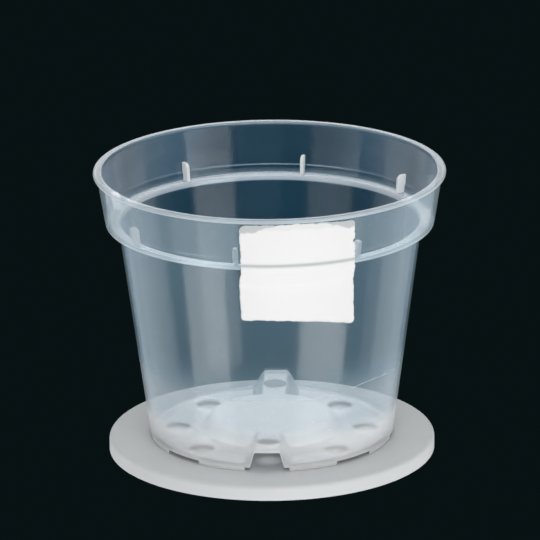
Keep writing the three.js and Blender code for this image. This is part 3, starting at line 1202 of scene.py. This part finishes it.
@dataclass
class WrappedLabel:
    """Hand-cut paper label on collar and wall that spans the hollow corner under the ledge."""

    pot: PotMoulding
    finish: LabelPaper
    angle: float = 12.6
    width: float = 39.2
    height: float = 36.5
    top_gap: float = 0.6
    top_fall: float = 0.3
    top_bow: float = 0.4
    bottom_fall: float = 3.7
    bottom_bow: float = 1.4
    lean: float = 2.0
    bridge: float = 7.0
    inner_gap: float = 0.22
    outer_gap: float = 0.4
    bend: float = 0.6
    top_corners: Point = (2.2, 1.3)
    bottom_corners: Point = (1.5, 1.2)
    ragged: float = 0.5
    side_waves: float = 1.3
    top_seed: float = 1.3
    bottom_seed: float = 4.1
    left_seed: float = 2.2
    right_seed: float = 5.7
    lip_shade_seed: float = 3.1
    nick_height: float = 84.6
    nick_depth: float = 0.7
    nick_reach: float = 0.6
    # Painted shade: a grey line across the label along the crease above the ledge.
    crease_shade_height: float = 77.85
    crease_shade_width: float = 0.6
    edge_wear: float = 0.35
    edge_wear_rows: int = 6
    edge_wear_columns: int = 2
    # Painted shadow of the lip: a grey band along the label's top, deep at the left and right and faint all
    # along.
    lip_shade: float = 0.85
    lip_shade_reach: float = 2.9
    lip_shade_middle: float = 0.52
    lip_shade_soft: float = 0.4
    lip_shade_span: Point = (0.12, 0.5)
    thin_lip_shade: float = 0.18
    thin_lip_shade_span: Point = (2.6, 1.6)
    across: int = 150
    edge_rows: tuple[float, ...] = (0.0, 0.03, 0.1, 0.2, 0.35, 0.55, 0.8, 1.1, 1.45, 1.8, 2.2)
    middle_rows: int = 110
    piece: Object | None = field(default=None, init=False)

    @staticmethod
    def wobble(share: Numbers, seed: float) -> Numbers:
        """Gives the uneven run of a cut edge, from about -1 to 1."""
        waves = ((9.0, 0.3), (23.0, 0.25), (47.0, 0.25), (83.0, 0.2), (131.0, 0.15))
        return sum(size * np.sin(rate * share + seed * (k + 1.7)) for k, (rate, size) in enumerate(waves))

    def draw_in(self, share: float, seed: float) -> float:
        """Gives how far a side edge is torn in at a share of the label's height."""
        return self.ragged * (1 + self.wobble(self.side_waves * share, seed)) / 2

    def path(self, z: Array, gap: float) -> Array:
        """Gives the label's radius at a height.

        Args:
            z: Heights.
            gap: Distance from the moulding.

        Returns:
            Radii, with soft bends at both ends of the free span.
        """
        pot = self.pot
        foot, top = pot.body_height - self.bridge, pot.body_height - gap
        rise = (pot.collar_outer(top) - pot.body_outer(foot)) / (top - foot)
        span = pot.body_outer(foot) + rise * (z - foot)
        bent = smooth_min(pot.collar_outer(z), span, self.bend)
        return smooth_max(bent, pot.body_outer(z), self.bend) + gap

    def corner_cuts(self, depth: float, side: int) -> float:
        """Gives how far the rounded corners draw a side in.

        Args:
            depth: Distance from the label's top.
            side: 0 for the left side and 1 for the right.

        Returns:
            The distance.
        """
        cut = 0.0
        ends = (depth, self.height - depth)
        for end, radius in zip(ends, (self.top_corners[side], self.bottom_corners[side])):
            inside = max(radius - end, 0.0)
            cut += radius - math.sqrt(radius**2 - inside**2)
        return cut

    def sheet(self, gap: float) -> Array:
        """Lays one face of the label.

        Args:
            gap: Distance from the moulding.

        Returns:
            Points by row and column, in millimetres.
        """
        u = np.linspace(0.0, 1.0, self.across + 1)
        arch = 4 * u * (1 - u)
        start = self.pot.lip_bottom - self.top_gap
        top = start - self.top_fall * u + self.top_bow * arch
        top += self.ragged * self.wobble(u, self.top_seed) / 2
        low = start - self.height - self.bottom_fall * u + self.bottom_bow * arch
        low += self.ragged * (1 + self.wobble(u, self.bottom_seed)) / 2
        rim = np.array(self.edge_rows)
        inner = np.linspace(rim[-1], self.height - rim[-1], self.middle_rows + 2)[1:-1]
        rows = []
        for depth in (*rim, *inner, *(self.height - rim[::-1])):
            share = depth / self.height
            z = top + (low - top) * share
            slant = self.lean * (share - 0.5)
            nick = self.nick_depth * math.exp(-(((z[-1] - self.nick_height) / self.nick_reach) ** 2))
            left = slant - self.width / 2 + self.draw_in(share, self.left_seed) + self.corner_cuts(depth, 0)
            right = slant + self.width / 2 - self.draw_in(share, self.right_seed)
            right -= self.corner_cuts(depth, 1) + nick
            x = left + (right - left) * u
            rows.append(np.column_stack([x, -np.sqrt(np.maximum(self.path(z, gap) ** 2 - x**2, 0.0)), z]))
        return np.array(rows) @ np.array(Matrix.Rotation(math.radians(self.angle), 3, "Z")).T

    def build(self) -> Object:
        """Builds the label as a closed thin sheet.

        Returns:
            The object.
        """
        front, back = self.sheet(self.outer_gap), self.sheet(self.inner_gap)
        points = np.concatenate([front.reshape(-1, 3), back.reshape(-1, 3)])
        size = len(points) // 2
        number = np.arange(size).reshape(front.shape[:2])
        cells = [number[:-1, :-1], number[1:, :-1], number[1:, 1:], number[:-1, 1:]]
        quads = np.stack(cells, axis=-1).reshape(-1, 4)
        rim = np.array([*number[0, :], *number[1:, -1], *number[-1, -2::-1], *number[-2:0:-1, 0]])
        following = np.roll(rim, -1)
        side = np.stack([rim, following, following + size, rim + size], axis=-1)
        faces = np.concatenate([quads, quads[:, ::-1] + size, side]).tolist()
        self.piece = add_object("paper_label", mesh_from("paper_label", points, faces))
        self.mark_wear_and_shade(front)
        return self.piece

    def mark_wear_and_shade(self, front: Array) -> None:
        """Stores where the cut edge is soiled, and where shade is painted along the crease and along the top
        under the lip.

        Args:
            front: Points of the label's face, by row and column.
        """
        rows, columns = front.shape[:2]
        z = front[:, :, 2]
        down = np.minimum(np.arange(rows), np.arange(rows)[::-1])[:, None]
        along = np.minimum(np.arange(columns), np.arange(columns)[::-1])[None, :]
        edge = np.clip(1 - down / self.edge_wear_rows, 0, 1)
        edge = edge + np.clip(1 - along / self.edge_wear_columns, 0, 1)
        # Painted shade line along the crease.
        crease_shade = np.exp(-(((z - self.crease_shade_height) / self.crease_shade_width) ** 2))
        # Painted shadow of the lip along the top: deep at the left and right, faint all along.
        share = np.linspace(0.0, 1.0, columns)
        depth = z[0] - z + self.ragged * self.wobble(share, self.lip_shade_seed)
        reach = self.lip_shade_reach * smooth_step(*self.lip_shade_span, np.abs(share - self.lip_shade_middle))
        lip_shaded = self.lip_shade * smooth_step(reach + self.lip_shade_soft, reach - self.lip_shade_soft, depth)
        thin = self.thin_lip_shade * smooth_step(*self.thin_lip_shade_span, depth)
        wear = np.clip(np.max([self.edge_wear * edge, crease_shade, lip_shaded, thin], axis=0), 0, 1)
        store(self.piece.data, self.finish.wear_and_shade_layer, "POINT", np.tile(wear.ravel(), 2))

    def dress(self, effects: Effects) -> None:
        """Gives the label its finish and ties it to the frame.

        Args:
            effects: The shared node groups.
        """
        dress_mesh(self.piece.data, self.finish.material(effects))
        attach(self.piece, BODY)
        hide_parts("label")


@dataclass
class RoundFloor:
    """Round pale board that the pot stands on."""

    finish: PaleFloor
    radius: float = 56.0
    thickness: float = 5.0
    edge: float = 1.5
    around: int = 160

    def build(self, effects: Effects) -> Object:
        """Builds and dresses the board.

        Args:
            effects: The shared node groups.

        Returns:
            The object.
        """
        section = arc((self.radius - self.edge, -self.edge), self.edge, 90, 0, 6)
        section.append((self.radius, -self.thickness))
        turns = np.linspace(0, 2 * np.pi, self.around, endpoint=False)
        points = np.array([(r * math.cos(t), r * math.sin(t), z) for r, z in section for t in turns])
        mesh = mesh_from("round_floor", points, loft(len(section), self.around))
        dress_mesh(mesh, self.finish.material(effects))
        board = add_object("round_floor", mesh)
        return board


def direction(azimuth: float, elevation: float) -> Vector:
    """Gives the unit vector from the pot towards an azimuth and elevation in degrees."""
    a, e = math.radians(azimuth), math.radians(elevation)
    return Vector((math.sin(a) * math.cos(e), -math.cos(a) * math.cos(e), math.sin(e)))


@dataclass(frozen=True)
class Softbox:
    """One soft studio lamp that faces the pot."""

    name: str
    azimuth: float
    elevation: float
    distance: float
    width: float
    height: float
    radiance: float

    def build(self) -> None:
        """Adds the lamp."""
        lamp = bpy.data.lights.new(self.name, "AREA")
        lamp.shape = "RECTANGLE"
        lamp.size, lamp.size_y = self.width, self.height
        lamp.energy = 4 * self.width * self.height * self.radiance
        box = add_object(self.name, lamp)
        away = direction(self.azimuth, self.elevation)
        box.location = away * self.distance + Vector((0, 0, AIM_HEIGHT * MM))
        box.rotation_euler = away.to_track_quat("Z", "Y").to_euler()
        box.visible_camera = False
        box.visible_transmission = False


@dataclass
class Studio:
    """Backdrop, soft lamps and the camera."""

    backdrop: Color = (0.0027, 0.0060, 0.0066)
    ambient: Color = (0.92, 0.97, 1.0)
    ambient_strength: float = 0.22
    see_through: int = 32
    lens: float = 369.94
    sensor: float = 36.0
    nearest: float = 0.1
    farthest: float = 20.0
    azimuth: float = 2.4
    elevation: float = 18.137
    distance: float = 1.9
    roll: float = 0.528
    tilt: float = 0.3269
    pan: float = 0.007
    lamps: tuple[Softbox, ...] = (
        Softbox("right_softbox", 47, -22, 0.9, 0.585, 0.73, 3.05),
        Softbox("left_low_softbox", -52, -36, 0.9, 0.50, 0.45, 2.9),
        Softbox("left_high_softbox", -47, -2, 0.9, 0.60, 0.38, 1.25),
        Softbox("front_softbox", 12, 40, 0.9, 0.50, 0.40, 2.1),
        Softbox("right_back_softbox", 122, -22, 0.85, 0.62, 0.69, 0.72),
        Softbox("left_back_softbox", -114, -22, 0.85, 0.83, 0.69, 0.72),
        Softbox("far_softbox", -176, 18, 0.9, 0.36, 0.22, 1.95),
        Softbox("top_softbox", 0, 86, 0.9, 0.7, 0.7, 2.0),
    )

    def build(self) -> None:
        """Sets up the world, the lamps and the camera."""
        self.build_world()
        for lamp in self.lamps:
            lamp.build()
        self.build_camera()
        scene = bpy.context.scene
        scene.view_settings.view_transform = "Standard"
        scene.cycles.transparent_max_bounces = self.see_through

    def build_world(self) -> None:
        """Makes the dark backdrop that is seen, and the even light that falls on the pot."""
        world = bpy.data.worlds.new("studio")
        world.use_nodes = True
        world.node_tree.nodes.clear()
        tree = NodeWork(world.node_tree)
        path = tree.node("ShaderNodeLightPath")
        seen = Value(tree, path.outputs[Ray.CAMERA.value])
        for ray in (Ray.GLOSSY, Ray.TRANSMISSION):
            seen = seen.most(path.outputs[ray.value])
        lit = tree.node("ShaderNodeBackground", (*self.ambient, 1.0), self.ambient_strength)
        dark = tree.node("ShaderNodeBackground", (*self.backdrop, 1.0), 1.0)
        mix = tree.node("ShaderNodeMixShader", seen, lit.outputs[0], dark.outputs[0])
        tree.node("ShaderNodeOutputWorld", Surface=mix.outputs[0])
        bpy.context.scene.world = world

    def build_camera(self) -> None:
        """Places the camera at the photograph's viewing angle."""
        data = bpy.data.cameras.new("camera")
        data.lens, data.sensor_width = self.lens, self.sensor
        data.clip_start, data.clip_end = self.nearest, self.farthest
        camera = add_object("camera", data)
        back = direction(self.azimuth, self.elevation)
        aim = (-back).to_track_quat("-Z", "Y").to_matrix()
        trim = Euler((math.radians(self.tilt), math.radians(self.pan), 0)).to_matrix()
        turn = aim @ Matrix.Rotation(math.radians(-self.roll), 3, "Z") @ trim
        spot = back * self.distance + Vector((0, 0, AIM_HEIGHT * MM))
        camera.matrix_world = Matrix.Translation(spot) @ turn.to_4x4()
        bpy.context.scene.camera = camera


def main() -> None:
    """Builds the pot, its label and the studio in order."""
    logging.basicConfig(level=logging.INFO, format="%(name)s: %(message)s")
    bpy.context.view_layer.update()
    effects = Effects()
    moulding = PotMoulding(ClearPlastic())
    for part in (moulding, WrappedLabel(moulding, LabelPaper())):
        part.build()
        part.dress(effects)
        log.info("%s: %d faces", part.piece.name, len(part.piece.data.polygons))
    board = RoundFloor(PaleFloor()).build(effects)
    log.info("%s: %d faces", board.name, len(board.data.polygons))
    Studio().build()


if __name__ == "__main__":
    main()
